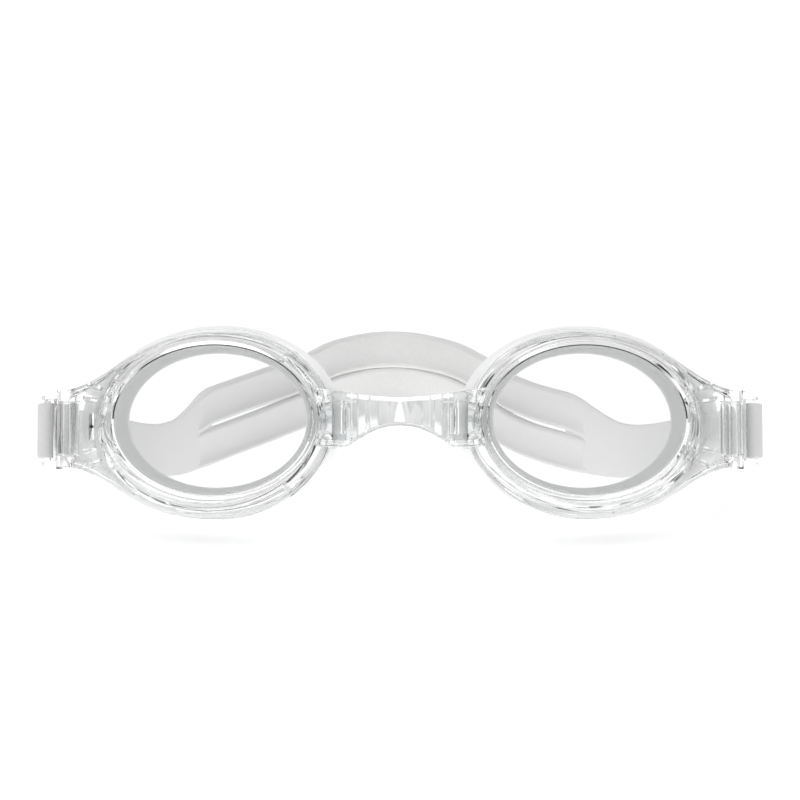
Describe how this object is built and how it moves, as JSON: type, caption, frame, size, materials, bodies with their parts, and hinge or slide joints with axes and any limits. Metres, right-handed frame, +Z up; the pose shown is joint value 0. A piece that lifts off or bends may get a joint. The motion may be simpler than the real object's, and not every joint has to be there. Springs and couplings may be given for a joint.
{
  "type": "swim goggles",
  "caption": "Clear swim goggles: two sealed eye cups joined by a soft nose bridge, with side clips and a split head strap.",
  "frame": {"origin": "on the ground under the middle of the goggles as they rest, midway between the front of the lenses and the rear of the strap loop", "axes": "+X to the viewer's right as one looks at the lenses from in front, -Y the way the lenses face, +Z up"},
  "size_m": [0.151, 0.129, 0.0405],
  "materials": {
    "clear_polycarbonate": "clear, polished",
    "seal_silicone": "translucent, satin",
    "soft_clear_plastic": "clear, soft, glossy",
    "clip_plastic": "clear, glossy",
    "strap_silicone": "white, matt"
  },
  "bodies": {
    "left_eye": {"left_lens": "clear_polycarbonate", "left_gasket": "seal_silicone", "nose_bridge": "soft_clear_plastic", "strap": "strap_silicone"},
    "right_eye": {"right_lens": "clear_polycarbonate", "right_gasket": "seal_silicone"},
    "left_buckle": {"left_clip": "clip_plastic"},
    "right_buckle": {"right_clip": "clip_plastic"}
  },
  "joints": [
    {"name": "bridge_flex", "type": "hinge", "parent": "left_eye", "child": "right_eye", "pos_m": [0, -0.05534, 0.02394], "axis": [0, 0.3256, 0.9455], "range_deg": [-15, 25], "stiffness_Nm_per_rad": 0.1, "deforming": ["nose_bridge", "strap"]},
    {"name": "right_clip_turn", "type": "hinge", "parent": "right_eye", "child": "right_buckle", "pos_m": [0.0686, -0.03964, 0.01853], "axis": [0, 0.3256, 0.9455], "range_deg": [-10, 20], "deforming": ["strap"]},
    {"name": "left_clip_turn", "type": "hinge", "parent": "left_eye", "child": "left_buckle", "pos_m": [-0.0686, -0.03964, 0.01853], "axis": [0, -0.3256, -0.9455], "range_deg": [-10, 20], "deforming": ["strap"]}
  ]
}
